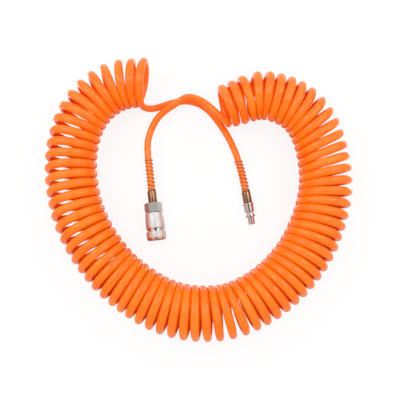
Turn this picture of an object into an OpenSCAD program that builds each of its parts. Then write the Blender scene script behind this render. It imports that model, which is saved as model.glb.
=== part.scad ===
// Coiled polyurethane air hose with a push-to-connect socket on one end and a
// plug nipple on the other. Millimetres, +Z up. The hose lies on the plane
// z = 0, and the origin is on that plane, midway between the two end fittings.

/* [Hose] */
// Outer diameter of the hose
hose_od = 8; // [6:0.5:10]
// Inner diameter of the hose
hose_id = 5; // [3.5:0.5:6]
// Outer diameter of the coil half way along it
coil_mid_d = 62; // [52:0.2:70]
// Outer diameter of the coil at its two ends
coil_end_d = 56.2; // [50:0.2:64]

/* [Spring guards] */
// Wire diameter of a spring guard
guard_wire_d = 0.9; // [0.6:0.1:1.2]
// Length of a spring guard
guard_len = 38; // [24:1:60]
// Turns of wire in a spring guard
guard_turns = 10; // [6:1:14]
// Radial gap between the hose and a spring guard
guard_gap = 0.15; // [0.15:0.05:0.5]

/* [Crimped ends] */
// Length of a ferrule
ferrule_len = 14; // [10:0.5:20]
// Wall of a ferrule
ferrule_wall = 1.1; // [0.6:0.1:2]
// Thickness of the lip that holds a ferrule to its stem
ferrule_lip = 1.1; // [0.6:0.1:2]
// Radial gap between the hose and a ferrule
ferrule_gap = 0.05; // [0.02:0.01:0.2]
// Number of barbs on a hose stem
barb_count = 3; // [2:1:4]
// How far a barb bites into the wall of the hose
barb_bite = 0.3; // [0.1:0.05:0.5]
// Air bore through a hose stem
stem_bore_d = 3.4; // [2:0.1:3.6]

/* [Plug nipple] */
// Diameter of the shank and of the locking ring
plug_od = 11.2; // [10:0.2:13]
// Diameter of the sealing tip
plug_tip_d = 7.6; // [6.4:0.2:8.4]
// Length of the sealing tip
plug_tip_len = 8.9; // [7:0.1:11]
// Diameter of the neck that the balls drop into
plug_neck_d = 7.4; // [6.4:0.2:8]
// Length of the neck
plug_neck_len = 3.2; // [3.2:0.1:4]
// Length of the locking ring
plug_ring_len = 2.7; // [2:0.1:4]
// Diameter of the stop collar
plug_collar_d = 13; // [12:0.2:16]
// Length of the stop collar
plug_collar_len = 2.4; // [1.5:0.1:4]
// Air bore through the tip
plug_bore_d = 4.4; // [3.6:0.2:5.2]

/* [Socket body] */
// Width across the flats of the hexagon
hex_af = 18; // [17:0.5:24]
// Length of the hexagon
hex_len = 11; // [8:0.5:16]
// Length of the spigot that goes into the body
spigot_len = 5; // [5:0.5:7]
// Wall of the spigot around the valve chamber
spigot_wall = 1.5; // [1.4:0.1:2]
// Wall of the body around the valve slider
body_wall = 1.7; // [1.5:0.1:2.2]
// Length of the flange behind the sleeve spring
flange_len = 7; // [6.5:0.5:8]
// Thickness of the valve seat lip
seat_len = 2; // [1.2:0.1:2.4]
// Bore of the valve seat lip
seat_bore_d = 8.4; // [7.6:0.2:8.8]
// Thickness of the stop ring
stop_ring_len = 0.9; // [0.6:0.1:1.4]
// Radial height of the stop ring
stop_ring_wall = 1.5; // [1.1:0.1:1.6]

/* [Release sleeve] */
// Travel of the sleeve between open and locked
sleeve_travel = 4.5; // [4:0.1:5]
// Wall of the sleeve at its rear end
sleeve_wall = 1.1; // [0.8:0.1:2]
// Rise of the sleeve from its rear end to its waist
sleeve_flare = 0.9; // [0.4:0.1:1.6]
// Rise of the grip collar above the waist
collar_rise = 0.3; // [0.1:0.1:1]
// Length of the grip collar
collar_len = 7.4; // [4:0.2:8]
// Width of the finger groove behind the collar
groove_len = 4; // [2:0.2:5]
// Depth of the finger groove
groove_depth = 0.7; // [0.3:0.1:1]
// Length of the rounded nose of the sleeve
nose_round = 3.2; // [2:0.2:4]

/* [Lock and valve] */
// Diameter of a locking ball
ball_d = 3; // [2.6:0.1:3.1]
// Wire diameter of the sleeve spring
sleeve_wire_d = 1.1; // [0.8:0.1:1.3]
// Turns of wire in the sleeve spring
sleeve_turns = 5; // [4:1:6]
// Length of the sleeve spring while the sleeve is held back
sleeve_spring_len = 9.5; // [8.5:0.5:12]
// Wire diameter of the valve spring
valve_wire_d = 0.7; // [0.5:0.1:0.9]
// Turns of wire in the valve spring
valve_turns = 5; // [4:1:6]
// Length that the valve spring keeps in hand at full travel
valve_spring_spare = 1; // [0.6:0.1:1.6]
// Thickness of the valve disc
disc_len = 2.2; // [1.4:0.1:3]
// Thickness of the valve seal
seal_len = 1.1; // [0.8:0.1:1.6]
// Diameter of the valve stem
stem_d = 6.8; // [6:0.2:7.2]

/* [Hidden] */
$fn = 64;
eps = 0.01;

// Fits and gaps
entry_gap = 0.1;        // plug in the mouth of the socket
slider_gap = 0.15;      // valve slider in the mouth
undercut = 0.5;         // depth of the relief around the balls
land_gap = 0.15;        // sleeve land on the body
bore_gap = 0.1;         // sleeve bore on the flange, spigot in the body
spring_gap = 0.25;      // sleeve spring from body and sleeve
ball_gap = 0.05;        // ball in its hole
ball_rest_gap = 0.15;   // ball above the slider while the sleeve is held back
ball_recess_gap = 0.2;  // ball below the recess of the sleeve
face_gap = 0.1;         // end faces that meet
seat_gap = 0.05;        // ring in its groove

// Hose and its crimped ends
hose_r = hose_od / 2;
stem_r = hose_id / 2;
ferrule_bore_r = hose_r + ferrule_gap;
ferrule_r = ferrule_bore_r + ferrule_wall;
hose_end_z = -ferrule_lip - face_gap;
barb_z = hose_end_z - 0.3;
stem_tip_z = -ferrule_len + 0.8;
guard_coil_r = hose_r + guard_gap + guard_wire_d / 2;
guard_run_in = 6;       // hose that keeps the line of its guard behind it

// Radii of the socket, from the plug outwards
entry_r = plug_od / 2 + entry_gap;
slider_r = entry_r - slider_gap;
undercut_r = entry_r + undercut;
body_r = entry_r + body_wall;
land_r = body_r + land_gap;
sleeve_spring_r = body_r + spring_gap + sleeve_wire_d / 2;
ball_r = ball_d / 2;
ball_open_r = slider_r + ball_rest_gap + ball_r;
ball_recess_r = ball_open_r + ball_r + ball_recess_gap;
sleeve_bore_r = max(sleeve_spring_r + sleeve_wire_d / 2 + spring_gap, ball_recess_r);
flange_r = sleeve_bore_r - bore_gap;
sleeve_rear_r = sleeve_bore_r + sleeve_wall;
waist_r = sleeve_rear_r + sleeve_flare;
collar_r = waist_r + collar_rise;
tip_bore_r = plug_tip_d / 2 + 0.15;
chamber_r = entry_r + 0.1;
spigot_r = chamber_r + spigot_wall;
rear_bore_r = spigot_r + bore_gap;
body_seal_back = 2.2;   // middle of the body seal behind the end of the spigot
seat_r = seat_bore_d / 2;
disc_r = chamber_r - 0.5;
stem_out_r = stem_d / 2;
ring_groove_r = body_r - 0.5;
stop_ring_in_r = ring_groove_r + seat_gap;
stop_ring_r = stop_ring_in_r + stop_ring_wall;
mouth_recess_r = max(stop_ring_r + 0.4, sleeve_bore_r - 0.1);

// Stations along the socket, from the rear face of the hexagon to the mouth
spigot_end = hex_len + spigot_len;
seat_rear = spigot_end + 0.6;
seat_front = seat_rear + seat_len;
flange_end = hex_len + flange_len;
sleeve_rear = hex_len + 0.5;
land_rear = flange_end + sleeve_spring_len;
land_len = 2.5;
land_front = land_rear + land_len;
land_cover = 0.4;
ball_z = land_front + sleeve_travel - land_cover;
recess_front = ball_z + ball_r + face_gap;
front_land_len = 1.2;
mouth_rear = recess_front + front_land_len;
ring_rear = mouth_rear + sleeve_travel + face_gap;
ring_slot_len = stop_ring_len + 2 * seat_gap;
nose_z = ring_rear + ring_slot_len + 1.1;
sleeve_front = nose_z + 0.4;
waist_len = 4;          // even waist behind the finger groove
nose_arc = 60;          // degrees of rounding on the nose
entry_rear = ball_z + ball_r + 0.4;
undercut_rear = ball_z - ball_r - 1.6;
skirt_cover = 0.15;
slider_front = ball_z + skirt_cover;
valve_travel = skirt_cover + plug_ring_len + plug_neck_len / 2 + 0.05;
valve_spring_len = valve_travel + 1.05 * valve_wire_d * valve_turns + valve_spring_spare;
cup_floor = slider_front - plug_tip_len - 0.3;
cup_base = 1.5;
cup_rear = cup_floor - cup_base;
disc_front = seat_rear - seal_len - face_gap;
disc_rear = disc_front - disc_len;
chamber_floor = disc_rear - valve_spring_len;
packing_depth = 3.4;    // middle of the packing behind the mouth of the cup
packing_z = slider_front - packing_depth;
packing_half = 1;
port_reach = 2.6;       // middle of the side ports in front of the valve disc
port_z = disc_front + port_reach;
ball_angles = [45, 135, 225, 315];

// Stations along the plug, from the rear face of its collar to its tip
shank_end = plug_collar_len + nose_z - ball_z - plug_neck_len / 2 + face_gap;
ring_z = shank_end + plug_neck_len;
tip_z = ring_z + plug_ring_len;
plug_end = tip_z + plug_tip_len;

// Places of the two fittings: the rear face of each, and its turn about +Z
socket_at = [-55.1, -3.3, collar_r];
socket_turn = 6.4;
socket_guard_bend = 0;
hex_turn = -4;
plug_at = [57.3, -3.3, plug_collar_d / 2];
plug_turn = 10.5;
plug_guard_bend = 5.5;

// Middle line of the coil in plan, from the plug's end to the socket's end
coil_route = [
    [-68, 136], [-96, 132], [-120, 117], [-136.5, 95], [-145.5, 67], [-148, 40],
    [-145.5, 13], [-138.5, -16], [-127, -41], [-112, -64], [-92.5, -86.5], [-71.5, -103],
    [-48.5, -117], [-23, -126], [7, -129], [34, -126], [60.5, -115], [82, -101],
    [103.5, -80.5], [120, -58], [131.5, -34], [140.5, -6], [144, 21], [142, 48],
    [134.5, 77.5], [120, 101], [98, 115.5], [69, 121], [43, 112.5], [30, 108.5]];
coil_sides = 12;

// Hose from the coil to the socket: it makes half a narrow turn more, crosses over
// the other end and comes down to the height of the socket
socket_tail_route = [
    [30.2, 106.5, 4.2], [32.7, 97.4, 6], [33.9, 91.3, 13], [33.5, 89.2, 21], [31.2, 90, 28.5],
    [26.3, 92.7, 33], [19.7, 98.3, 34], [12.6, 105.4, 32], [5.5, 112.4, 29], [-1, 117.1, 25],
    [-7.8, 120.5, 21], [-14.5, 122, 18], [-21.1, 120, 15.5], [-28.3, 115.3, 14],
    [-39.7, 108, 13], [-50, 98.3, 12.3], [-57.5, 84.5, 11.8], [-61.7, 69, 11.4]];

// Hose from the coil to the plug: it drops to the floor and lies there
plug_tail_route = [
    [-68.8, 112.1, 30], [-68, 111.2, 21], [-66.1, 111.1, 13], [-62.3, 111.1, 7.5],
    [-57.5, 111.7, 4.6], [-51.8, 112.8, 4], [-43.9, 115.4, 4], [-34.8, 118.4, 4],
    [-23.9, 120.6, 4], [-14, 121, 4], [0, 117, 4], [12, 108, 4],
    [24, 93, 4], [34, 77, 4.5], [40.5, 63, 5.6]];

// Directions that no stretch of a tail runs along: its facets are counted from there
socket_tail_side = [0.6, 0.6, 0.5];
plug_tail_side = [0, 1, 0.3];
tail_sides = 8;

// ---- Vectors, paths and swept tubes

function unit(v) = v / norm(v);

function tangent(path, i) = unit(path[min(i + 1, len(path) - 1)] - path[max(i - 1, 0)]);

// Ring of points square to the path, the first one towards the reference direction
function ring(path, i, r, towards, sides) =
    let (t = tangent(path, i), a = unit(towards - t * (t * towards)), b = cross(t, a))
    [for (k = [0:sides - 1]) path[i] + r * (cos(360 * k / sides) * a + sin(360 * k / sides) * b)];

// Closed tube along a path, with one radius and one reference direction per point
module tube(path, radii, towards, sides) {
    last = len(path) - 1;
    points = [for (i = [0:last]) each ring(path, i, radii[i], towards[i], sides)];
    walls = [for (i = [0:last - 1], k = [0:sides - 1])
        let (a = i * sides + k, b = i * sides + (k + 1) % sides)
        each [[a, a + sides, b], [b, a + sides, b + sides]]];
    start = [for (k = [0:sides - 1]) k];
    end = [for (k = [sides - 1:-1:0]) last * sides + k];
    polyhedron(points, concat([start], walls, [end]), convexity = 10);
}

// Height along a spring whose first and last turns are closed
function spring_rise(turn, turns, length, wire) =
    let (closed = wire * 1.05, open = (length - wire - 2 * closed) / (turns - 2))
    turn <= 1 ? closed * turn :
    turn >= turns - 1 ? length - wire - closed * (turns - turn) :
    closed + open * (turn - 1);

// Coil spring standing on z = 0
module spring(coil_r, wire, turns, length, steps = 16) {
    angles = [for (i = [0:turns * steps]) 360 * i / steps];
    out = [for (a = angles) [cos(a), sin(a), 0]];
    path = [for (i = [0:turns * steps])
        coil_r * out[i] + [0, 0, wire / 2 + spring_rise(i / steps, turns, length, wire)]];
    tube(path, [for (a = angles) wire / 2], out, 6);
}

// Point on the hose's middle line inside a guard, at a distance behind the ferrule
function guard_line(s, bend) = [-s * s * bend * PI / 360 / guard_len, 0, -ferrule_len - s];

// ---- Placing: local +Z runs out of the fitting, local +Y is up

module on_socket() {
    translate(socket_at) rotate([90, 0, socket_turn]) children();
}

module on_plug() {
    translate(plug_at) rotate([90, 0, plug_turn]) children();
}

// A local point of a fitting, in the frame of the whole part
function placed(at, turn, p) =
    at + [cos(turn) * p.x + sin(turn) * p.z, sin(turn) * p.x - cos(turn) * p.z, p.y];

// The hose's last points, through the guard and the ferrule onto the stem
function crimped_end(at, turn, bend) = [
    for (s = [guard_len + guard_run_in, guard_len, guard_len * 0.66, guard_len * 0.33, 0])
        placed(at, turn, guard_line(s, bend)),
    placed(at, turn, [0, 0, hose_end_z])];

// ---- Hose

module hose_tail(path, towards) {
    tube(path, [for (p = path) hose_r], [for (p = path) towards], tail_sides);
}

function coil_r_at(u) = (coil_end_d + (coil_mid_d - coil_end_d) * (1 - pow(2 * u - 1, 2))) / 2;

module hose_coil() {
    last = len(coil_route) - 1;
    radii = [for (i = [0:last]) coil_r_at(i / last)];
    path = [for (i = [0:last]) [coil_route[i].x, coil_route[i].y, radii[i]]];
    color("darkorange") tube(path, radii, [for (p = path) [0, 0, 1]], coil_sides);
}

module hose_tail_socket() {
    color("darkorange")
        hose_tail(concat(socket_tail_route, crimped_end(socket_at, socket_turn, socket_guard_bend)),
            socket_tail_side);
}

module hose_tail_plug() {
    color("darkorange")
        hose_tail(concat(plug_tail_route, crimped_end(plug_at, plug_turn, plug_guard_bend)),
            plug_tail_side);
}

// ---- Crimped ends, the same on both fittings

// Wire guard that keeps the hose from kinking, bent a little with the hose
module spring_guard(bend, steps = 16) {
    count = guard_turns * steps;
    reach = guard_len - guard_wire_d;
    path = [for (i = [0:count])
        let (s = guard_wire_d / 2 + 0.05 + spring_rise(i / steps, guard_turns, reach, guard_wire_d),
             c = guard_line(s, bend), a = 360 * i / steps)
        c + guard_coil_r * [cos(a), sin(a), 0]];
    out = [for (i = [0:count]) [cos(360 * i / steps), sin(360 * i / steps), 0]];
    tube(path, [for (p = path) guard_wire_d / 2], out, 6);
}

// Sleeve crimped over the hose, with a lip that holds behind the fitting
module ferrule() {
    edge = min(0.5, ferrule_wall / 2);
    rotate_extrude() polygon([
        [ferrule_bore_r, -ferrule_len], [ferrule_r - edge, -ferrule_len], [ferrule_r, edge - ferrule_len],
        [ferrule_r, -edge / 2], [ferrule_r - edge / 2, 0], [stem_r + seat_gap, 0],
        [stem_r + seat_gap, -ferrule_lip], [ferrule_bore_r, -ferrule_lip]]);
}

// Outline of a barbed stem, from its tip up to the fitting
function stem_outline() =
    let (pitch = (barb_z - stem_tip_z) / barb_count, crest = stem_r + barb_bite)
    concat([[stem_bore_d / 2, stem_tip_z]],
        [for (k = [0:barb_count - 1]) each [
            [k == 0 ? stem_r - 0.3 : stem_r, stem_tip_z + k * pitch],
            [crest, stem_tip_z + (k + 0.75) * pitch],
            [stem_r, stem_tip_z + (k + 0.8) * pitch]]],
        [[stem_r, 0]]);

// ---- Socket

// Hexagon with its corners turned down, between two heights
module turned_hex(af, h) {
    corner_r = af / 2 / cos(30);
    drop = (corner_r - af / 2) * tan(30);
    intersection() {
        cylinder(h = h, r = corner_r, $fn = 6);
        rotate_extrude() polygon([[0, 0], [af / 2, 0], [corner_r + eps, drop],
            [corner_r + eps, h - drop], [af / 2, h], [0, h]]);
    }
}

module socket_adapter() {
    seal_z = spigot_end - body_seal_back;
    color("silver") on_socket() difference() {
        union() {
            rotate([0, 0, hex_turn]) turned_hex(hex_af, hex_len);
            rotate_extrude() polygon(concat(stem_outline(), [[stem_bore_d / 2, 0]]));
            rotate_extrude() polygon([[0, hex_len - 1], [spigot_r - 0.3, hex_len - 1],
                [spigot_r - 0.3, hex_len + 0.6], [spigot_r, hex_len + 0.9],
                [spigot_r, spigot_end - 0.4], [spigot_r - 0.4, spigot_end], [0, spigot_end]]);
        }
        translate([0, 0, -eps]) cylinder(h = hex_len, d = stem_bore_d);
        translate([0, 0, chamber_floor]) cylinder(h = spigot_end, r = chamber_r);
        rotate_extrude() polygon([[spigot_r - 0.9, seal_z - 0.7], [spigot_r + 1, seal_z - 0.7],
            [spigot_r + 1, seal_z + 0.7], [spigot_r - 0.9, seal_z + 0.7]]);
    }
}

module body_seal() {
    seal_z = spigot_end - body_seal_back;
    seal_r = (rear_bore_r - spigot_r + 0.9) / 2 - 0.02;
    color("dimgray") on_socket() translate([0, 0, seal_z])
        rotate_extrude() translate([rear_bore_r - 0.02 - seal_r, 0]) circle(r = seal_r, $fn = 32);
}

module socket_body() {
    color("silver") on_socket() difference() {
        rotate_extrude() polygon([
            [rear_bore_r, hex_len], [flange_r - 0.4, hex_len], [flange_r, hex_len + 0.4],
            [flange_r, flange_end], [body_r, flange_end], [body_r, ring_rear],
            [ring_groove_r, ring_rear], [ring_groove_r, ring_rear + ring_slot_len],
            [body_r, ring_rear + ring_slot_len], [body_r, nose_z - 0.3], [body_r - 0.3, nose_z],
            [entry_r + 0.5, nose_z], [entry_r, nose_z - 0.5], [entry_r, entry_rear],
            [undercut_r, entry_rear], [undercut_r, undercut_rear + undercut], [entry_r, undercut_rear],
            [entry_r, seat_front], [seat_r, seat_front], [seat_r, seat_rear],
            [rear_bore_r, seat_rear]]);
        for (a = ball_angles)
            translate([0, 0, ball_z]) rotate([0, 90, a]) cylinder(h = body_r + 1, r = ball_r + ball_gap);
    }
}

// Sprung ring that stops the sleeve, open over a short arc
module stop_ring() {
    color("slategray") on_socket() translate([0, 0, ring_rear + seat_gap])
        rotate([0, 0, 105]) rotate_extrude(angle = 330) translate([stop_ring_in_r, 0])
            square([stop_ring_wall, stop_ring_len]);
}

// Points along a quarter turn from one direction to the next
function arc(cx, cz, r, from, to, steps) =
    [for (i = [0:steps]) let (a = from + (to - from) * i / steps) [cx + r * cos(a), cz + r * sin(a)]];

module release_sleeve() {
    collar_front = sleeve_front - nose_round;
    collar_rear = collar_front - collar_len;
    groove_rear = collar_rear - groove_len;
    waist_z = groove_rear - waist_len;
    flare_run = waist_z - sleeve_rear - 0.6;
    color("gainsboro") on_socket() rotate_extrude() polygon(concat(
        [[sleeve_bore_r, sleeve_rear], [sleeve_rear_r - 0.5, sleeve_rear]],
        [for (i = [0:8]) [sleeve_rear_r + sleeve_flare * sin(90 * i / 8),
            sleeve_rear + 0.6 + flare_run * i / 8]],
        [[waist_r, groove_rear], [waist_r - groove_depth, groove_rear + groove_depth]],
        [[waist_r - groove_depth, collar_rear - groove_depth], [waist_r, collar_rear],
         [collar_r, collar_rear + 0.3]],
        arc(collar_r - nose_round * 0.45, collar_front, nose_round * 0.45, 0, nose_arc, 5),
        [[mouth_recess_r + 0.9, sleeve_front - 0.2], [mouth_recess_r + 0.5, sleeve_front],
         [mouth_recess_r + 0.3, sleeve_front], [mouth_recess_r, sleeve_front - 0.3],
         [mouth_recess_r, mouth_rear], [land_r, mouth_rear], [land_r, recess_front],
         [ball_recess_r, recess_front], [ball_recess_r, land_front], [land_r, land_front],
         [land_r, land_rear], [sleeve_bore_r, land_rear]]));
}

module sleeve_spring() {
    color("darkgray") on_socket() translate([0, 0, flange_end + 0.05])
        spring(sleeve_spring_r, sleeve_wire_d, sleeve_turns, sleeve_spring_len - 0.1);
}

module lock_ball(i) {
    color("lightgray") on_socket() rotate([0, 0, ball_angles[i]])
        translate([ball_open_r, 0, ball_z]) sphere(r = ball_r);
}

module lock_ball_1() { lock_ball(0); }
module lock_ball_2() { lock_ball(1); }
module lock_ball_3() { lock_ball(2); }
module lock_ball_4() { lock_ball(3); }

// Cup that the plug pushes back, on a hollow stem with side ports and a riveted end
module valve_slider() {
    rivet_r = stem_out_r - 1.2;
    color("khaki") on_socket() difference() {
        rotate_extrude() polygon([
            [0, disc_rear - 0.4], [rivet_r, disc_rear - 0.4], [rivet_r, disc_front],
            [stem_out_r, disc_front], [stem_out_r, cup_rear], [slider_r - 0.4, cup_rear],
            [slider_r, cup_rear + 0.4], [slider_r, slider_front], [tip_bore_r + 0.4, slider_front],
            [tip_bore_r, slider_front - 0.4], [tip_bore_r, packing_z + packing_half],
            [slider_r - 0.6, packing_z + packing_half], [slider_r - 0.6, packing_z - packing_half],
            [tip_bore_r, packing_z - packing_half], [tip_bore_r, cup_floor], [0, cup_floor]]);
        translate([0, 0, port_z - 1.4]) cylinder(h = cup_floor - port_z + 2, r = stem_out_r - 1.4);
        for (a = [0, 90])
            translate([0, 0, port_z]) rotate([0, 90, a]) cylinder(h = stem_d + 1, r = 1, center = true);
    }
}

module valve_disc() {
    color("khaki") on_socket() rotate_extrude() polygon([
        [stem_out_r - 1.15, disc_rear], [disc_r - 0.3, disc_rear], [disc_r, disc_rear + 0.3],
        [disc_r, disc_front], [stem_out_r - 1.15, disc_front]]);
}

module valve_seal() {
    color("dimgray") on_socket() rotate_extrude() polygon([
        [stem_out_r + seat_gap, disc_front], [disc_r - 0.2, disc_front],
        [disc_r - 0.2, disc_front + seal_len - 0.3], [disc_r - 0.5, disc_front + seal_len],
        [stem_out_r + seat_gap, disc_front + seal_len]]);
}

module valve_spring() {
    color("darkgray") on_socket() translate([0, 0, chamber_floor + 0.05])
        spring(disc_r - 0.8, valve_wire_d, valve_turns, valve_spring_len - 0.1);
}

// Lip seal in the cup, a little tighter than the plug's tip
module plug_packing() {
    grip_r = plug_tip_d / 2 - 0.05;
    color("dimgray") on_socket() translate([0, 0, packing_z]) rotate_extrude() polygon([
        [grip_r, -0.3], [grip_r + 0.5, seat_gap - packing_half],
        [slider_r - 0.6 - seat_gap, seat_gap - packing_half],
        [slider_r - 0.6 - seat_gap, packing_half - seat_gap],
        [grip_r + 0.5, packing_half - seat_gap], [grip_r, 0.3]]);
}

module socket_ferrule() { color("tan") on_socket() ferrule(); }
module socket_spring_guard() { color("dimgray") on_socket() spring_guard(socket_guard_bend); }

// ---- Plug

module plug_nipple() {
    bore_r = plug_bore_d / 2;
    shank_r = plug_od / 2;
    neck_r = plug_neck_d / 2;
    tip_r = plug_tip_d / 2;
    collar = plug_collar_d / 2;
    color("silver") on_plug() rotate_extrude() polygon(concat(
        stem_outline(),
        [[collar - 0.4, 0], [collar, 0.4], [collar, plug_collar_len - 0.4],
         [collar - 0.4, plug_collar_len], [shank_r, plug_collar_len], [shank_r, shank_end - 0.5],
         [shank_r - 0.6, shank_end], [neck_r, shank_end], [neck_r, ring_z], [shank_r - 0.6, ring_z],
         [shank_r, ring_z + 0.5], [shank_r, tip_z - 0.5], [shank_r - 0.6, tip_z], [tip_r, tip_z],
         [tip_r, plug_end - 0.6], [tip_r - 0.6, plug_end], [bore_r + 0.3, plug_end],
         [bore_r, plug_end - 0.3], [bore_r, 1], [stem_bore_d / 2, 0.5]]));
}

module plug_ferrule() { color("tan") on_plug() ferrule(); }
module plug_spring_guard() { color("dimgray") on_plug() spring_guard(plug_guard_bend); }

hose_coil();
hose_tail_socket();
hose_tail_plug();
socket_spring_guard();
socket_ferrule();
socket_adapter();
socket_body();
body_seal();
release_sleeve();
sleeve_spring();
stop_ring();
lock_ball_1();
lock_ball_2();
lock_ball_3();
lock_ball_4();
valve_slider();
valve_disc();
valve_seal();
valve_spring();
plug_packing();
plug_nipple();
plug_ferrule();
plug_spring_guard();
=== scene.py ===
"""Coiled polyurethane air hose with a quick socket and a plug: shapes, looks, light and camera."""

import math

import bmesh
import bpy
import numpy as np
from mathutils import Matrix, Vector


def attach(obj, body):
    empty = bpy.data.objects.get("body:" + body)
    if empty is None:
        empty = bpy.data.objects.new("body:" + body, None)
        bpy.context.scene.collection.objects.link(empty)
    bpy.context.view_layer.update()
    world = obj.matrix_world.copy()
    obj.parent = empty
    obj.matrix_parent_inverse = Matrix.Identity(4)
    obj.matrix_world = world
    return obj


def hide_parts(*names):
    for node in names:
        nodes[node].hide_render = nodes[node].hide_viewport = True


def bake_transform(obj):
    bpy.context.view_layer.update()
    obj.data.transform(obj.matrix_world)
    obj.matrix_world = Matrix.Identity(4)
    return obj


MM = 0.001

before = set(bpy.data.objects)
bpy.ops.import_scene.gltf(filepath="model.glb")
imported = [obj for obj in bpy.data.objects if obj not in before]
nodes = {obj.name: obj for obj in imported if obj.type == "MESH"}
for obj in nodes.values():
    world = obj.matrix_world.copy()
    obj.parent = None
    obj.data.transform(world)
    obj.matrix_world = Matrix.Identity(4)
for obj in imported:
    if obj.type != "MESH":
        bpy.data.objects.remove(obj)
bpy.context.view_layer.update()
scene = bpy.context.scene

# ---- Camera: above the hose, a little to the south of it

CAMERA_TARGET = Vector((0.0003, 0.0012, 0.0))
CAMERA_DISTANCE = 0.62
CAMERA_ELEVATION = math.radians(85)

camera_data = bpy.data.cameras.new("camera")
camera_data.sensor_width = 36
camera_data.lens = 46.5
camera_data.clip_start = 0.01
camera = bpy.data.objects.new("camera", camera_data)
camera.location = CAMERA_TARGET + CAMERA_DISTANCE * Vector(
    (0, -math.cos(CAMERA_ELEVATION), math.sin(CAMERA_ELEVATION)))
camera.rotation_euler = (math.pi / 2 - CAMERA_ELEVATION, 0, 0)
scene.collection.objects.link(camera)
scene.camera = camera

# ---- Places of the two fittings, in mm: local +Z runs out of a fitting, local +Y is up

COLLAR_R = 11.3
SOCKET_AT, SOCKET_TURN, SOCKET_BEND = (-55.1, -3.3, COLLAR_R), math.radians(6.4), 0.0
PLUG_AT, PLUG_TURN, PLUG_BEND = (57.3, -3.3, 6.5), math.radians(10.5), math.radians(5.5)
FERRULE_LEN = 14.0
GUARD_LEN = 38.0
END_GAP = 0.05
HOSE_R = 4.0


def placing(at, turn):
    """Matrix from a fitting's own millimetres to metres in the part's frame."""
    return (Matrix.Scale(MM, 4) @ Matrix.Translation(at)
            @ Matrix.Rotation(turn, 4, "Z") @ Matrix.Rotation(math.pi / 2, 4, "X"))


ON_SOCKET = placing(SOCKET_AT, SOCKET_TURN)
ON_PLUG = placing(PLUG_AT, PLUG_TURN)


def guard_line(s, bend):
    """Point on the hose's middle line, s mm behind the ferrule, in the fitting's millimetres."""
    return (-s * s * bend / 2 / GUARD_LEN, 0.0, -FERRULE_LEN - s)


# ---- The hose: one line through socket tail, coil and plug tail

# Middle line of the coil in plan, mm, from the plug's end to the socket's end
COIL_ROUTE = (
    (-68, 136), (-96, 132), (-120, 117), (-136.5, 95), (-145.5, 67), (-148, 40),
    (-145.5, 13), (-138.5, -16), (-127, -41), (-112, -64), (-92.5, -86.5), (-71.5, -103),
    (-48.5, -117), (-23, -126), (7, -129), (34, -126), (60.5, -115), (82, -101),
    (103.5, -80.5), (120, -58), (131.5, -34), (140.5, -6), (144, 21), (142, 48),
    (134.5, 77.5), (120, 101), (98, 115.5), (69, 121), (43, 112.5), (30, 108.5))
# Distance along that line of the outer end of every tenth turn, mm
STATIONS = (0, 123, 243, 351, 463, 570, 684, 798)
# Half the hose's height where it is wound, and half its width on top of the coil and below,
# on the coil's outer side and on its inner side, mm
WOUND_UP, WIDE_ON_TOP, WIDE_OUTSIDE, WIDE_INSIDE = 3.75, 4.95, 4.1, 4.5
# Where turns crowd, they squeeze each other to the middle between them and this much past it,
# but never to less than half this width, mm
PRESSED, NARROWEST = 0.25, 3.0
RING_MIDDLE = (0, 5)
FIRST_TURN, LAST_TURN = -0.42, 70.22
# Turns between two of the stations, and the way from turn to turn past the last one, mm
STATION_TURNS, LAST_PITCH = 10, 11.0
# How far the coil's line is carried on past both ends, and how far its bends are evened out, mm
CARRIED_ON, EVENED_OUT = 40.0, 7
# Way between two points of a free end, mm, and points over which it becomes a wound hose
TAIL_STEP, TAIL_BLEND = 2.2, 14
STEPS_PER_TURN = 40
# How the turns lie, as pairs of turn and mm: the lean along the coil between top and bottom,
# the swing along it between outer and inner end, the outer radius
LEANS = ((0, 2.5), (2, 0), (18, -1), (25, 1), (33, 0), (38, 3), (48, 3), (58, 0), (66, 0), (70, 2))
SWINGS = ((-0.4, -8), (1, -3), (10, -1), (18, 0), (48, 0), (58, 4), (62, 3), (67, -5), (70, 0))
RADII = ((0, 28), (2, 29), (33, 31), (48, 31), (67, 28), (70, 25.5))

SOCKET_TAIL = (
    (30.2, 106.5, 4.2), (32.7, 97.4, 6), (33.9, 91.3, 13), (33.5, 89.2, 21), (31.2, 90, 28.5),
    (26.3, 92.7, 33), (19.7, 98.3, 34), (12.6, 105.4, 32), (5.5, 112.4, 29), (-1, 117.1, 25),
    (-7.8, 120.5, 21), (-14.5, 122, 18), (-21.1, 120, 15.5), (-28.3, 115.3, 14),
    (-39.7, 108, 13), (-50, 98.3, 12.3), (-57.5, 84.5, 11.8), (-61.7, 69, 11.4))
PLUG_TAIL = (
    (-68.8, 112.1, 30), (-68, 111.2, 21), (-66.1, 111.1, 13), (-62.3, 111.1, 7.5),
    (-57.5, 111.7, 4.6), (-51.8, 112.8, 4), (-43.9, 115.4, 4), (-34.8, 118.4, 4),
    (-23.9, 120.6, 4), (-14, 121, 4), (0, 117, 4), (12, 108, 4),
    (24, 93, 4), (34, 77, 4.5), (40.5, 63, 5.6))


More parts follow.
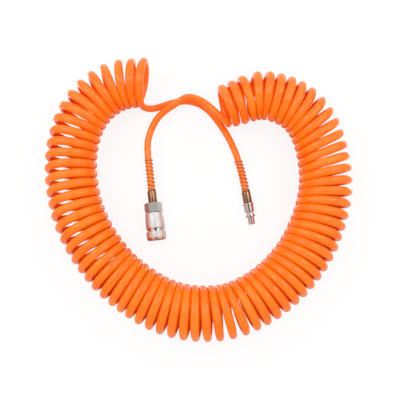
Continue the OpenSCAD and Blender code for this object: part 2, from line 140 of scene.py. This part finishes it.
def smooth_through(points, spacing):
    """Points every spacing mm or so on a smooth curve through the given ones."""
    p = np.asarray(points, float)
    p = np.vstack([2 * p[0] - p[1], p, 2 * p[-1] - p[-2]])
    out = []
    for i in range(1, len(p) - 2):
        a, b, c, d = p[i - 1:i + 3]
        ta = np.linalg.norm(b - a) ** 0.5
        tb = np.linalg.norm(c - b) ** 0.5
        tc = np.linalg.norm(d - c) ** 0.5
        go = (b - a) / ta - (c - a) / (ta + tb) + (c - b) / tb
        come = (c - b) / tb - (d - b) / (tb + tc) + (d - c) / tc
        go, come = go * tb, come * tb
        n = max(2, int(round(np.linalg.norm(c - b) / spacing)))
        for u in np.arange(n) / n:
            out.append(b * (2 * u**3 - 3 * u**2 + 1) + go * (u**3 - 2 * u**2 + u)
                       + c * (3 * u**2 - 2 * u**3) + come * (u**3 - u**2))
    out.append(p[-2])
    return np.array(out)


def lengths(points):
    """Way along the points up to each of them."""
    return np.concatenate([[0], np.cumsum(np.linalg.norm(np.diff(points, axis=0), axis=1))])


def softened(values, width):
    """values averaged over about width samples to each side, ends carried on straight."""
    n = 3 * width
    k = np.exp(-(np.arange(-n, n + 1) / width) ** 2)
    j = np.arange(n, 0, -1)
    ends = np.concatenate([values[0] - (values[1] - values[0]) * j, values,
                           values[-1] + (values[-1] - values[-2]) * j[::-1]])
    return np.convolve(ends, k / k.sum(), "valid")


def wound_line():
    """(points, outward directions) of the wound hose, mm, from the plug's end on."""
    mid = smooth_through(COIL_ROUTE, 2.0)
    for end, inner in ((0, 1), (-1, -2)):
        step = mid[end] - mid[inner]
        mid = np.insert(mid, 0 if end == 0 else len(mid),
                        mid[end] + step / np.linalg.norm(step) * CARRIED_ON, axis=0)
    along = lengths(mid) - CARRIED_ON
    total = along[-1] - CARRIED_ON
    s = np.arange(-CARRIED_ON, total + CARRIED_ON, 1.0)
    x = softened(np.interp(s, along, mid[:, 0]), EVENED_OUT)
    y = softened(np.interp(s, along, mid[:, 1]), EVENED_OUT)
    tx, ty = np.gradient(x), np.gradient(y)
    size = np.hypot(tx, ty)
    tx, ty = tx / size, ty / size

    turn = np.arange(FIRST_TURN, LAST_TURN, 1 / STEPS_PER_TURN)
    phase = 2 * math.pi * turn
    marks = smooth_through([(STATION_TURNS * i, v) for i, v in enumerate(STATIONS)], 0.5)
    base = np.interp(turn, marks[:, 0], marks[:, 1])
    first_pitch = (STATIONS[1] - STATIONS[0]) / STATION_TURNS
    last = STATION_TURNS * (len(STATIONS) - 1)
    base = np.where(turn < 0, STATIONS[0] + turn * first_pitch, base)
    base = np.where(turn > last, STATIONS[-1] + (turn - last) * LAST_PITCH, base)
    lean, swing, big = (
        softened(np.interp(turn, *zip(*pairs)), STEPS_PER_TURN // 8)
        for pairs in (LEANS, SWINGS, RADII))
    at = base - lean * np.sin(phase) + swing * np.cos(phase)
    ox, oy = np.interp(at, s, ty), -np.interp(at, s, tx)
    centre = np.column_stack([np.interp(at, s, x), np.interp(at, s, y), big])
    out = np.column_stack([ox * np.cos(phase), oy * np.cos(phase), -np.sin(phase)])
    return centre + out * (big - WOUND_UP)[:, None], out


def tail_into(at, turn, bend, tail):
    """Tail points in order, then the ones through the guard and just into the ferrule."""
    place = placing(at, turn)
    last = [place @ Vector(guard_line(s, bend)) / MM
            for s in (GUARD_LEN + 6, GUARD_LEN, GUARD_LEN * 0.66, GUARD_LEN * 0.33, 0, -3)]
    return [Vector(p) for p in tail] + last


def hose_line():
    """(points, outward directions, share of winding) of the whole hose from the socket on."""
    wound, out = wound_line()
    wound, out = wound[::-1], out[::-1]
    to_socket = tail_into(SOCKET_AT, SOCKET_TURN, SOCKET_BEND, SOCKET_TAIL)
    to_plug = tail_into(PLUG_AT, PLUG_TURN, PLUG_BEND, PLUG_TAIL)
    few = STEPS_PER_TURN // 8
    head = smooth_through([*wound[2 * few::-few], *to_socket], TAIL_STEP)
    tail = smooth_through([*wound[-2 * few - 1::few], *to_plug], TAIL_STEP)
    start = wound[0]
    cut = np.argmin(np.linalg.norm(head - start, axis=1))
    head = head[cut + 1:][::-1]
    cut = np.argmin(np.linalg.norm(tail - wound[-1], axis=1))
    tail = tail[cut + 1:]
    line = np.vstack([head, wound, tail])
    tangent = np.gradient(line, axis=0)
    tangent /= np.linalg.norm(tangent, axis=1)[:, None]
    side = np.zeros_like(line)
    a, b = len(head), len(head) + len(wound)
    side[a:b] = out
    for i in range(a - 1, -1, -1):
        side[i] = side[i + 1]
        side[i] -= tangent[i] * (side[i] @ tangent[i])
        side[i] /= np.linalg.norm(side[i])
    for i in range(b, len(line)):
        side[i] = side[i - 1]
        side[i] -= tangent[i] * (side[i] @ tangent[i])
        side[i] /= np.linalg.norm(side[i])
    side -= tangent * np.sum(side * tangent, axis=1)[:, None]
    side /= np.linalg.norm(side, axis=1)[:, None]
    index = np.arange(len(line))
    share = np.clip(1 - np.maximum(a - index, index - b + 1) / TAIL_BLEND, 0, 1)
    return line, tangent, side, share


def room_beside(line):
    """Half the way from every point of the line to the nearest one a turn before or after."""
    room = np.full(len(line), np.inf)
    for away in range(STEPS_PER_TURN * 2 // 3, STEPS_PER_TURN * 4 // 3 + 1):
        half = np.linalg.norm(line[away:] - line[:-away], axis=1) / 2
        room[away:] = np.minimum(room[away:], half)
        room[:-away] = np.minimum(room[:-away], half)
    return room


def linked(name, mesh, material=None):
    """New object with that mesh in the scene."""
    obj = bpy.data.objects.new(name, mesh)
    scene.collection.objects.link(obj)
    if material:
        mesh.materials.append(material)
    return obj


def swept(name, line, tangent, side, up, wide, around):
    """Mesh of a tube along line, up and wide its half sizes, with a UV of turn and length."""
    across = np.cross(tangent, side)
    angle = np.arange(around) * 2 * math.pi / around
    ring = (np.cos(angle)[None, :, None] * side[:, None, :] * up[:, None, None]
            + np.sin(angle)[None, :, None] * across[:, None, :] * wide[:, None, None])
    points = ((line[:, None, :] + ring) * MM).reshape(-1, 3)
    faces = []
    for i in range(len(line) - 1):
        for k in range(around):
            a, b = i * around + k, i * around + (k + 1) % around
            faces.append((a, b, b + around, a + around))
    faces.append(tuple(range(around - 1, -1, -1)))
    last = (len(line) - 1) * around
    faces.append(tuple(range(last, last + around)))
    mesh = bpy.data.meshes.new(name)
    mesh.from_pydata(points.tolist(), [], faces)
    run = lengths(line) * MM
    uv = mesh.uv_layers.new(name="UVMap")
    values = np.zeros((len(mesh.loops), 2), np.float32)
    at = 0
    for i in range(len(line) - 1):
        for k in range(around):
            values[at:at + 4] = ((k / around, run[i]), ((k + 1) / around, run[i]),
                                 ((k + 1) / around, run[i + 1]), (k / around, run[i + 1]))
            at += 4
    uv.data.foreach_set("uv", values.ravel())
    mesh.shade_smooth()
    mesh.update()
    return mesh


# ---- Node helpers

class Nodes:
    """Short way to add and join nodes in a tree."""

    def __init__(self, tree):
        self.tree = tree

    def add(self, kind, inputs=(), **props):
        node = self.tree.nodes.new(kind)
        for key, value in props.items():
            setattr(node, key, value)
        for key, value in dict(inputs).items():
            self.put(node.inputs[key], value)
        return node

    def put(self, socket, value):
        if isinstance(value, bpy.types.NodeSocket):
            self.tree.links.new(value, socket)
        else:
            socket.default_value = value

    def math(self, operation, a, b=0.0, clamp=False):
        node = self.add("ShaderNodeMath", {0: a, 1: b}, operation=operation, use_clamp=clamp)
        return node.outputs[0]

    def mix(self, factor, a, b, kind="RGBA"):
        node = self.add("ShaderNodeMix", data_type=kind)
        names = {"RGBA": (6, 7, 2), "FLOAT": (2, 3, 0)}[kind]
        self.put(node.inputs[0], factor)
        self.put(node.inputs[names[0]], a)
        self.put(node.inputs[names[1]], b)
        return node.outputs[names[2]]

    def spread(self, value, low, high, to_low=0.0, to_high=1.0):
        node = self.add("ShaderNodeMapRange", {0: value, 1: low, 2: high, 3: to_low, 4: to_high})
        return node.outputs[0]


def new_material(name):
    material = bpy.data.materials.new(name)
    material.use_nodes = True
    tree = material.node_tree
    shader = tree.nodes["Principled BSDF"]
    return material, Nodes(tree), shader


# ---- Materials

def shader_group(name, inputs, outputs):
    tree = bpy.data.node_groups.new(name, "ShaderNodeTree")
    for key, kind, value in inputs:
        socket = tree.interface.new_socket(name=key, in_out="INPUT", socket_type=kind)
        socket.default_value = value
    for key, kind in outputs:
        tree.interface.new_socket(name=key, in_out="OUTPUT", socket_type=kind)
    n = Nodes(tree)
    return tree, n, n.add("NodeGroupInput"), n.add("NodeGroupOutput")


def fitting_axis_group():
    """A fitting's own coordinates, in mm and with Z along its axis."""
    tree, n, given, result = shader_group(
        "fitting_axis",
        (("Place", "NodeSocketVector", (0, 0, 0)), ("Turn", "NodeSocketVector", (0, 0, 0))),
        (("Local", "NodeSocketVector"),))
    spot = n.add("ShaderNodeTexCoord").outputs["Object"]
    moved = n.add("ShaderNodeVectorMath", {0: spot, 1: given.outputs["Place"]},
                  operation="SUBTRACT").outputs[0]
    turned = n.add("ShaderNodeVectorRotate", {"Vector": moved, "Rotation": given.outputs["Turn"]},
                   rotation_type="EULER_XYZ", invert=True).outputs[0]
    big = n.add("ShaderNodeVectorMath", {0: turned, "Scale": 1000.0}, operation="SCALE").outputs[0]
    n.put(result.inputs["Local"], big)
    return tree


def turned_marks_group():
    """Fine marks of the turning tool, and slow changes of tone, on a fitting's piece."""
    tree, n, given, result = shader_group(
        "turned_marks",
        (("Local", "NodeSocketVector", (0, 0, 0)), ("Depth", "NodeSocketFloat", 0.2)),
        (("Tone", "NodeSocketFloat"), ("Normal", "NodeSocketVector")))
    parts = n.add("ShaderNodeSeparateXYZ", {0: given.outputs["Local"]})
    line = n.add("ShaderNodeCombineXYZ", {0: 0.0, 1: 0.0, 2: parts.outputs[2]}).outputs[0]
    marks = n.add("ShaderNodeTexNoise", {"Vector": line, "Scale": 5.0, "Detail": 3.0,
                                         "Roughness": 0.7}).outputs[0]
    slow = n.add("ShaderNodeTexNoise", {"Vector": given.outputs["Local"], "Scale": 0.16,
                                        "Detail": 4.0}).outputs[0]
    bump = n.add("ShaderNodeBump", {"Strength": given.outputs["Depth"], "Distance": 0.00005,
                                    "Height": marks}).outputs[0]
    tone = n.math("ADD", n.math("MULTIPLY", n.math("SUBTRACT", slow, 0.5), 1.4),
                  n.math("MULTIPLY", n.math("SUBTRACT", marks, 0.5), 0.8))
    n.put(result.inputs["Tone"], tone)
    n.put(result.inputs["Normal"], bump)
    return tree


FITTING_AXIS = fitting_axis_group()
TURNED_MARKS = turned_marks_group()


def turned_metal(name, dark, light, roughness, depth=0.2, on_plug=False, metallic=1.0):
    material, n, shader = new_material(name)
    at, turn = (PLUG_AT, PLUG_TURN) if on_plug else (SOCKET_AT, SOCKET_TURN)
    axis = n.add("ShaderNodeGroup", node_tree=FITTING_AXIS)
    axis.inputs["Place"].default_value = [v * MM for v in at]
    axis.inputs["Turn"].default_value = (math.pi / 2, 0, turn)
    marks = n.add("ShaderNodeGroup", node_tree=TURNED_MARKS)
    n.put(marks.inputs["Local"], axis.outputs["Local"])
    marks.inputs["Depth"].default_value = depth
    share = n.math("ADD", marks.outputs["Tone"], 0.5, clamp=True)
    n.put(shader.inputs["Base Color"], n.mix(share, (*dark, 1), (*light, 1)))
    n.put(shader.inputs["Roughness"],
          n.spread(marks.outputs["Tone"], -0.5, 0.5, roughness * 1.25, roughness * 0.8))
    n.put(shader.inputs["Normal"], marks.outputs["Normal"])
    shader.inputs["Metallic"].default_value = metallic
    shader.inputs["Specular Tint"].default_value = (0.55, 0.50, 0.48, 1)
    return material


def hose_material():
    material, n, shader = new_material("hose_polyurethane")
    uv = n.add("ShaderNodeUVMap", uv_map="UVMap").outputs[0]
    parts = n.add("ShaderNodeSeparateXYZ", {0: uv})
    angle = n.math("MULTIPLY", parts.outputs[0], 2 * math.pi)
    around = n.add("ShaderNodeCombineXYZ", {0: n.math("COSINE", angle), 1: n.math("SINE", angle),
                                            2: n.math("MULTIPLY", parts.outputs[1], 6.0)}).outputs[0]
    # Lighter and darker lengthwise streaks in the orange, round and along the hose: partly its own
    # extrusion lines, partly painted sheen.
    streak_and_sheen = n.add("ShaderNodeTexNoise", {"Vector": around, "Scale": 1.6, "Detail": 3.0,
                                          "Roughness": 0.6}).outputs[0]
    spot = n.add("ShaderNodeTexCoord").outputs["Object"]
    cloud = n.add("ShaderNodeTexNoise", {"Vector": spot, "Scale": 60.0, "Detail": 2.0}).outputs[0]
    grain = n.add("ShaderNodeTexNoise", {"Vector": spot, "Scale": 900.0, "Detail": 2.0}).outputs[0]
    tone = n.math("ADD", n.math("MULTIPLY", streak_and_sheen, 0.6), n.math("MULTIPLY", cloud, 0.4))
    share = n.spread(tone, 0.35, 0.65)
    colour = n.mix(share, (1.0, 0.150, 0.0005, 1), (1.0, 0.225, 0.003, 1))
    n.put(shader.inputs["Base Color"], colour)
    n.put(shader.inputs["Roughness"], n.spread(cloud, 0.3, 0.7, 0.2, 0.3))
    n.put(shader.inputs["Normal"], n.add(
        "ShaderNodeBump", {"Strength": 0.05, "Distance": 0.0002, "Height": grain}).outputs[0])
    shader.inputs["IOR"].default_value = 1.5
    shader.inputs["Specular IOR Level"].default_value = 0.45
    # Painted light: a weak orange glow of the hose itself, which brightens the shade in the creases
    # between its turns.
    shader.inputs["Emission Color"].default_value = (1.0, 0.22, 0.01, 1)
    shader.inputs["Emission Strength"].default_value = 0.04
    shader.inputs["Subsurface Weight"].default_value = 0.35
    shader.inputs["Subsurface Radius"].default_value = (1.0, 0.25, 0.05)
    shader.inputs["Subsurface Scale"].default_value = 0.01
    return material


HOSE = hose_material()
PLATED = turned_metal("plated_steel_body", (0.60, 0.58, 0.56), (0.78, 0.76, 0.74), 0.2)
PLATED_HEX = turned_metal("plated_steel_hexagon", (0.50, 0.50, 0.48), (0.64, 0.63, 0.61), 0.38,
                          0.03)
PLATED_PLUG = turned_metal("plated_steel_plug", (0.56, 0.53, 0.50), (0.74, 0.71, 0.67), 0.16,
                           on_plug=True)
SATIN = turned_metal("satin_sleeve", (0.66, 0.66, 0.64), (0.80, 0.80, 0.78), 0.55, 0.2)
POLISHED = turned_metal("polished_groove", (0.58, 0.56, 0.54), (0.70, 0.68, 0.66), 0.12, 0.05)
CRIMPED = turned_metal("ferrule_steel_socket", (0.25, 0.15, 0.09), (0.37, 0.22, 0.14), 0.22)
CRIMPED_PLUG = turned_metal("ferrule_steel_plug", (0.25, 0.15, 0.09), (0.37, 0.22, 0.14), 0.22,
                            on_plug=True)
WIRE = turned_metal("spring_wire", (0.40, 0.36, 0.33), (0.60, 0.56, 0.52), 0.25, 0.05)
GUARD_WIRE = turned_metal("guard_wire", (0.40, 0.22, 0.13), (0.54, 0.32, 0.20), 0.3, 0.05)
BALL = turned_metal("ball_steel", (0.75, 0.75, 0.76), (0.85, 0.85, 0.86), 0.08, 0.0)
BRASS = turned_metal("valve_brass", (0.62, 0.40, 0.13), (0.80, 0.58, 0.24), 0.28)
RUBBER = turned_metal("seal_rubber", (0.012, 0.012, 0.013), (0.03, 0.03, 0.03), 0.6, 0.1,
                      metallic=0.0)

# ---- The hose as a cord

line, tangent, side, share = hose_line()
AROUND = 16
up = HOSE_R + (WOUND_UP - HOSE_R) * share
from_middle = line[:, :2] - RING_MIDDLE
outward = np.sum(side[:, :2] * from_middle, axis=1) / np.linalg.norm(from_middle, axis=1)
narrower = np.where(outward > 0, WIDE_ON_TOP - WIDE_OUTSIDE, WIDE_ON_TOP - WIDE_INSIDE)
wide = np.minimum(WIDE_ON_TOP - narrower * outward ** 4, room_beside(line) + PRESSED)
wide = HOSE_R + (softened(np.maximum(wide, NARROWEST), STEPS_PER_TURN // 20) - HOSE_R) * share
hose = linked("air_hose", swept("air_hose", line, tangent, side, up, wide, AROUND), HOSE)
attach(hose, "hose_set")
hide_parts("hose_coil", "hose_tail_socket", "hose_tail_plug")

# ---- Wound wires, all from one node tree

def wound_wire_tree():
    """Wire wound round Z from z = 0 up, in mm, its first and last turns closed."""
    tree = bpy.data.node_groups.new("wound_wire", "GeometryNodeTree")
    for key, kind, value in (
            ("Turns", "NodeSocketFloat", 10.0), ("Steps per Turn", "NodeSocketInt", 32),
            ("Coil Radius", "NodeSocketFloat", 4.6), ("Wire Radius", "NodeSocketFloat", 0.45),
            ("Length", "NodeSocketFloat", 38.0), ("Bend", "NodeSocketFloat", 0.0),
            ("Sides", "NodeSocketInt", 10), ("Material", "NodeSocketMaterial", None)):
        socket = tree.interface.new_socket(name=key, in_out="INPUT", socket_type=kind)
        if value is not None:
            socket.default_value = value
    tree.interface.new_socket(name="Geometry", in_out="OUTPUT", socket_type="NodeSocketGeometry")
    n = Nodes(tree)
    given = n.add("NodeGroupInput").outputs
    turns, steps, wire = given["Turns"], given["Steps per Turn"], given["Wire Radius"]
    count = n.math("ADD", n.math("MULTIPLY", turns, steps), 1.0)
    thread = n.add("GeometryNodeMeshLine", {"Count": count}).outputs[0]
    thread = n.add("GeometryNodeMeshToCurve", {0: thread}).outputs[0]
    turn = n.math("DIVIDE", n.add("GeometryNodeInputIndex").outputs[0], steps)
    angle = n.math("MULTIPLY", turn, 2 * math.pi)
    closed = n.math("MULTIPLY", wire, 2.1)
    reach = n.math("SUBTRACT", given["Length"], n.math("MULTIPLY", wire, 2.0))
    reach = n.math("SUBTRACT", reach, n.math("MULTIPLY", closed, 2.0))
    before_last = n.math("SUBTRACT", turns, 1.0)
    rise = n.math("ADD", n.spread(turn, 0.0, 1.0, 0.0, closed),
                  n.spread(turn, 1.0, before_last, 0.0, reach))
    rise = n.math("ADD", rise, n.spread(turn, before_last, turns, 0.0, closed))
    rise = n.math("ADD", rise, wire)
    drift = n.math("MULTIPLY", n.math("MULTIPLY", rise, rise), given["Bend"])
    spot = n.add("ShaderNodeCombineXYZ", {
        0: n.math("SUBTRACT", n.math("MULTIPLY", n.math("COSINE", angle), given["Coil Radius"]),
                  drift),
        1: n.math("MULTIPLY", n.math("SINE", angle), given["Coil Radius"]), 2: rise}).outputs[0]
    thread = n.add("GeometryNodeSetPosition", {"Geometry": thread, "Position": spot}).outputs[0]
    round_wire = n.add("GeometryNodeCurvePrimitiveCircle",
                       {"Resolution": given["Sides"], "Radius": wire}).outputs[0]
    solid = n.add("GeometryNodeCurveToMesh", {"Curve": thread, "Profile Curve": round_wire,
                                              "Fill Caps": True}).outputs[0]
    solid = n.add("GeometryNodeRealizeInstances", {0: solid}).outputs[0]
    solid = n.add("GeometryNodeSetMaterial", {"Geometry": solid,
                                              "Material": given["Material"]}).outputs[0]
    n.put(n.add("NodeGroupOutput").inputs[0], solid)
    return tree


WOUND_WIRE = wound_wire_tree()


def face_outward(mesh):
    """Turn all faces of a closed mesh to look outward."""
    shape = bmesh.new()
    shape.from_mesh(mesh)
    bmesh.ops.recalc_face_normals(shape, faces=shape.faces)
    shape.to_mesh(mesh)
    shape.free()


def wound_wire(name, place, material, node, mover=None, **sizes):
    """Piece made by the wound_wire tree, as a plain mesh in place of a CAD node. With a mover its
    placing is baked into its mesh and it joins no body; without one it goes with the hose set."""
    work = linked("wire_work", bpy.data.meshes.new("wire_work"))
    maker = work.modifiers.new("wound_wire", "NODES")
    maker.node_group = WOUND_WIRE
    keys = {item.name: item.identifier for item in WOUND_WIRE.interface.items_tree
            if item.in_out == "INPUT"}
    for key, value in {**sizes, "Material": material}.items():
        maker[keys[key.replace("_", " ")]] = value
    work.update_tag()
    bpy.context.view_layer.update()
    graph = bpy.context.evaluated_depsgraph_get()
    mesh = bpy.data.meshes.new_from_object(work.evaluated_get(graph))
    bpy.data.objects.remove(work)
    mesh.name = name
    mesh.transform(place)
    face_outward(mesh)
    mesh.shade_smooth()
    piece = linked(name, mesh)
    if mover:
        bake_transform(piece)
    else:
        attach(piece, "hose_set")
    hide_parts(node)
    return piece


def guard(name, place, bend, node):
    """Wire guard on the hose behind a ferrule, END_GAP clear of what is at its two ends."""
    wires = {"Turns": 10.0, "Coil_Radius": 4.6, "Wire_Radius": 0.45,
             "Length": GUARD_LEN - 2 * END_GAP, "Bend": bend / 2 / GUARD_LEN}
    behind = Matrix.Translation((0, 0, -FERRULE_LEN - END_GAP)) @ Matrix.Diagonal((1, 1, -1, 1))
    wound_wire(name, place @ behind, GUARD_WIRE, node, **wires)


guard("guard_behind_socket", ON_SOCKET, SOCKET_BEND, "socket_spring_guard")
guard("guard_behind_plug", ON_PLUG, PLUG_BEND, "plug_spring_guard")
wound_wire("sleeve_return_spring", ON_SOCKET @ Matrix.Translation((0, 0, 18.05)), WIRE,
           "sleeve_spring", "sleeve", Turns=5.0, Coil_Radius=8.2, Wire_Radius=0.55, Length=9.4)
wound_wire("valve_return_spring", ON_SOCKET @ Matrix.Translation((0, 0, 4.08)), WIRE,
           "valve_spring", "valve", Turns=5.0, Coil_Radius=4.5, Wire_Radius=0.35, Length=9.07)

# ---- Turned pieces

def eased(outline, cut):
    """The outline with its corners rounded by cut mm, or less on short sides."""
    out = []
    for i, corner in enumerate(outline):
        before, after = Vector(outline[i - 1]), Vector(outline[(i + 1) % len(outline)])
        corner = Vector(corner)
        back, on = before - corner, after - corner
        bend = math.pi - back.angle(on)
        if bend < 0.3:
            out.append(corner)
            continue
        ease = min(cut, 0.35 * back.length, 0.35 * on.length)
        start, end = corner + back.normalized() * ease, corner + on.normalized() * ease
        for u in (0, 0.25, 0.5, 0.75, 1):
            out.append(start * (1 - u) ** 2 + corner * 2 * u * (1 - u) + end * u * u)
    return out


def turned(name, outline, place, material, slot, node, body="hose_set", polished=(), cut=0.14,
           around=96):
    """Closed outline of (radius, z) mm turned round a fitting's axis, with polished bands."""
    points = eased(outline, cut)
    corners, faces, n = [], [], len(points)
    for k in range(around):
        c, s = math.cos(2 * math.pi * k / around), math.sin(2 * math.pi * k / around)
        corners += [(p[0] * c, p[0] * s, p[1]) for p in points]
        for i in range(n):
            a, b = k * n + i, k * n + (i + 1) % n
            faces.append((a, b, (b + n) % (n * around), (a + n) % (n * around)))
    mesh = bpy.data.meshes.new(name)
    mesh.from_pydata(corners, [], faces)
    mesh.materials.append(material)
    if polished:
        mesh.materials.append(POLISHED)
    for face in mesh.polygons:
        z = face.center.z
        face.material_index = int(any(low < z < high for low, high in polished))
    mesh.transform(place)
    face_outward(mesh)
    mesh.shade_smooth()
    mesh.set_sharp_from_angle(angle=math.radians(30))
    piece = linked(name, mesh)
    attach(piece, body)
    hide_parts(node)
    return piece


FERRULE = ((4.05, -14), (4.65, -14), (5.15, -13.5), (5.15, -0.25), (4.9, 0), (2.55, 0),
           (2.55, -1.1), (4.05, -1.1))
turned("crimped_ferrule_socket", FERRULE, ON_SOCKET, CRIMPED, "ferrule_steel", "socket_ferrule")
turned("crimped_ferrule_plug", FERRULE, ON_PLUG, CRIMPED_PLUG, "ferrule_steel", "plug_ferrule")

SLEEVE = (
    [(9.0, 11.5), (9.6, 11.5)]
    + [(10.1 + 0.9 * math.sin(math.pi / 2 * i / 12), 12.1 + 13.3 * i / 12) for i in range(13)]
    + [(11.0, 29.4), (10.3, 30.1), (10.3, 32.7), (11.0, 33.4), (11.3, 33.7), (11.3, 40.6),
       (11.05, 40.9), (10.95, 42.5), (10.4, 43.4), (9.8, 43.9), (9.4, 44), (9.2, 44),
       (8.9, 43.7), (8.9, 36.9), (7.55, 36.9), (7.55, 35.7), (8.9, 35.7), (8.9, 30),
       (7.55, 30), (7.55, 27.5), (9.0, 27.5)])
turned("sliding_sleeve", SLEEVE, ON_SOCKET, SATIN, "plated_steel", "release_sleeve", "sleeve",
       polished=((29.4, 33.5), (40.6, 44.1)))

PLUG = (
    (1.7, -13.2), (2.2, -13.2), (2.8, -10), (2.5, -9.8), (2.5, -9.2), (2.8, -6.2), (2.5, -6),
    (2.5, -5.4), (2.8, -2.4), (2.5, -2.2), (2.5, 0), (6.1, 0), (6.5, 0.4), (6.5, 2.0), (6.1, 2.4),
    (5.6, 2.4), (5.6, 9.9), (5.0, 10.4), (3.7, 10.4), (3.7, 13.6), (5.0, 13.6), (5.6, 14.1),
    (5.6, 15.8), (5.0, 16.3), (3.8, 16.3), (3.8, 24.6), (3.2, 25.2), (2.5, 25.2), (2.2, 24.9),
    (2.2, 1), (1.7, 0.5))
turned("turned_plug", PLUG, ON_PLUG, PLATED_PLUG, "plated_steel", "plug_nipple")

# ---- CAD pieces that keep their own shape

KEPT = {
    "socket_adapter": PLATED_HEX, "socket_body": PLATED, "stop_ring": WIRE,
    "body_seal": RUBBER, "valve_seal": RUBBER, "plug_packing": RUBBER,
    "valve_slider": BRASS, "valve_disc": BRASS, "lock_ball_1": BALL, "lock_ball_2": BALL,
    "lock_ball_3": BALL, "lock_ball_4": BALL}
for name, material in KEPT.items():
    nodes[name].data.materials.clear()
    nodes[name].data.materials.append(material)
edge = nodes["socket_adapter"].modifiers.new("broken_edges", "BEVEL")
edge.width, edge.segments, edge.limit_method = 0.2 * MM, 3, "ANGLE"
edge.angle_limit = math.radians(25)

# ---- Floor, backdrop and light

def floor_material():
    material = bpy.data.materials.new("studio_floor")
    material.use_nodes = True
    n = Nodes(material.node_tree)
    n.tree.nodes.clear()
    out = n.add("ShaderNodeOutputMaterial")
    rays = n.add("ShaderNodeLightPath")
    spot = n.add("ShaderNodeTexCoord").outputs["Object"]
    cloud = n.add("ShaderNodeTexNoise", {"Vector": spot, "Scale": 4.0}).outputs[0]
    pale = n.mix(cloud, (0.90, 0.90, 0.90, 1), (0.93, 0.93, 0.93, 1))
    matt = n.add("ShaderNodeBsdfDiffuse", {"Color": pale}).outputs[0]
    glow = n.add("ShaderNodeEmission", {"Color": (1, 1, 1, 1), "Strength": 1.0}).outputs[0]
    sheen = n.add("ShaderNodeBsdfGlossy", {"Color": (1, 1, 1, 1), "Roughness": 0.12}).outputs[0]
    in_metal = n.add("ShaderNodeMixShader", {0: 0.7, 1: matt, 2: sheen}).outputs[0]
    in_view = n.add("ShaderNodeMixShader", {0: 0.15, 1: glow, 2: matt}).outputs[0]
    other = n.add("ShaderNodeMixShader", {
        0: rays.outputs["Is Glossy Ray"], 1: matt, 2: in_metal}).outputs[0]
    chosen = n.add("ShaderNodeMixShader", {
        0: rays.outputs["Is Camera Ray"], 1: other, 2: in_view}).outputs[0]
    n.put(out.inputs[0], chosen)
    return material


FLOOR_SIZE, FLOOR_Z = 6, -0.0002
bpy.ops.mesh.primitive_plane_add(size=FLOOR_SIZE, location=(0, 0, FLOOR_Z))
floor = bpy.context.object
floor.name = "studio_floor"
floor.data.materials.append(floor_material())


def studio_world():
    """White to the camera, nearly even light for matt things, and for mirroring ones a light
    that fades toward the south, which gives the metal a dark side."""
    world = bpy.data.worlds.new("studio")
    world.use_nodes = True
    w = Nodes(world.node_tree)
    backdrop = world.node_tree.nodes["Background"]
    backdrop.inputs["Color"].default_value = (1, 1, 1, 1)
    rays = w.add("ShaderNodeLightPath").outputs
    spot = w.add("ShaderNodeTexCoord").outputs["Generated"]
    height = w.add("ShaderNodeSeparateXYZ", {0: spot}).outputs[2]
    on_matt = w.spread(height, 0.0, 1.0, 0.82, 0.92)
    north = w.add("ShaderNodeSeparateXYZ", {0: spot}).outputs[1]
    in_mirrors = w.spread(north, -0.9, 0.1, 0.35, 1.0)
    looked_at = w.mix(rays["Is Camera Ray"], in_mirrors, 1.0, "FLOAT")
    is_seen = w.math("MAXIMUM", rays["Is Camera Ray"], rays["Is Glossy Ray"])
    w.put(backdrop.inputs["Strength"], w.mix(is_seen, on_matt, looked_at, "FLOAT"))
    return world


scene.world = studio_world()


def soft_light(name, place, size, power, target=(0, 0, 0)):
    """Rectangular lamp that points at the target."""
    data = bpy.data.lights.new(name, "AREA")
    data.shape = "RECTANGLE"
    data.size, data.size_y = size
    data.energy = power
    light = bpy.data.objects.new(name, data)
    light.location = place
    light.rotation_euler = (Vector(target) - Vector(place)).to_track_quat("-Z", "Y").to_euler()
    scene.collection.objects.link(light)


LIGHT_X, LIGHT_Y, LIGHT_Z, LIGHT_SIZE = 0.65, 0.35, 1.15, (0.4, 1.1)
LEFT_WATTS, RIGHT_WATTS = 3.9, 3.5
soft_light("light_left", (-LIGHT_X, LIGHT_Y, LIGHT_Z), LIGHT_SIZE, LEFT_WATTS)
soft_light("light_right", (LIGHT_X, LIGHT_Y, LIGHT_Z), LIGHT_SIZE, RIGHT_WATTS)


def dark_card(name, corners, tone):
    """Card that only reflections show, as a dark edge in the metal."""
    material, n, shader = new_material(name)
    cloud = n.add("ShaderNodeTexNoise", {"Scale": 3.0}).outputs[0]
    dim, pale = (*(v * 0.9 for v in tone), 1), (*(v * 1.1 for v in tone), 1)
    n.put(shader.inputs["Base Color"], n.mix(cloud, dim, pale))
    shader.inputs["Roughness"].default_value = 0.9
    mesh = bpy.data.meshes.new(name)
    mesh.from_pydata(corners, [], [tuple(range(len(corners)))])
    card = linked(name, mesh, material)
    card.visible_camera = card.visible_diffuse = card.visible_shadow = False
    card.visible_transmission = False


OVERHEAD_R, OVERHEAD_Y, OVERHEAD_Z, OVERHEAD_SIDES = 0.24, -0.03, 0.66, 32
SIDE_X, SIDE_HALF_LEN, SIDE_HEIGHT = 0.6, 0.7, 0.2
angles = [2 * math.pi * i / OVERHEAD_SIDES for i in range(OVERHEAD_SIDES)]
dark_card("overhead_card",
          [(OVERHEAD_R * math.cos(a), OVERHEAD_R * math.sin(a) + OVERHEAD_Y, OVERHEAD_Z)
           for a in angles], (0.12, 0.12, 0.11))
for name, x in (("left_card", -SIDE_X), ("right_card", SIDE_X)):
    dark_card(name, [(x, -SIDE_HALF_LEN, 0.0), (x, SIDE_HALF_LEN, 0.0),
                     (x, SIDE_HALF_LEN, SIDE_HEIGHT), (x, -SIDE_HALF_LEN, SIDE_HEIGHT)],
              (0.30, 0.29, 0.28))

scene.view_settings.view_transform = "Standard"
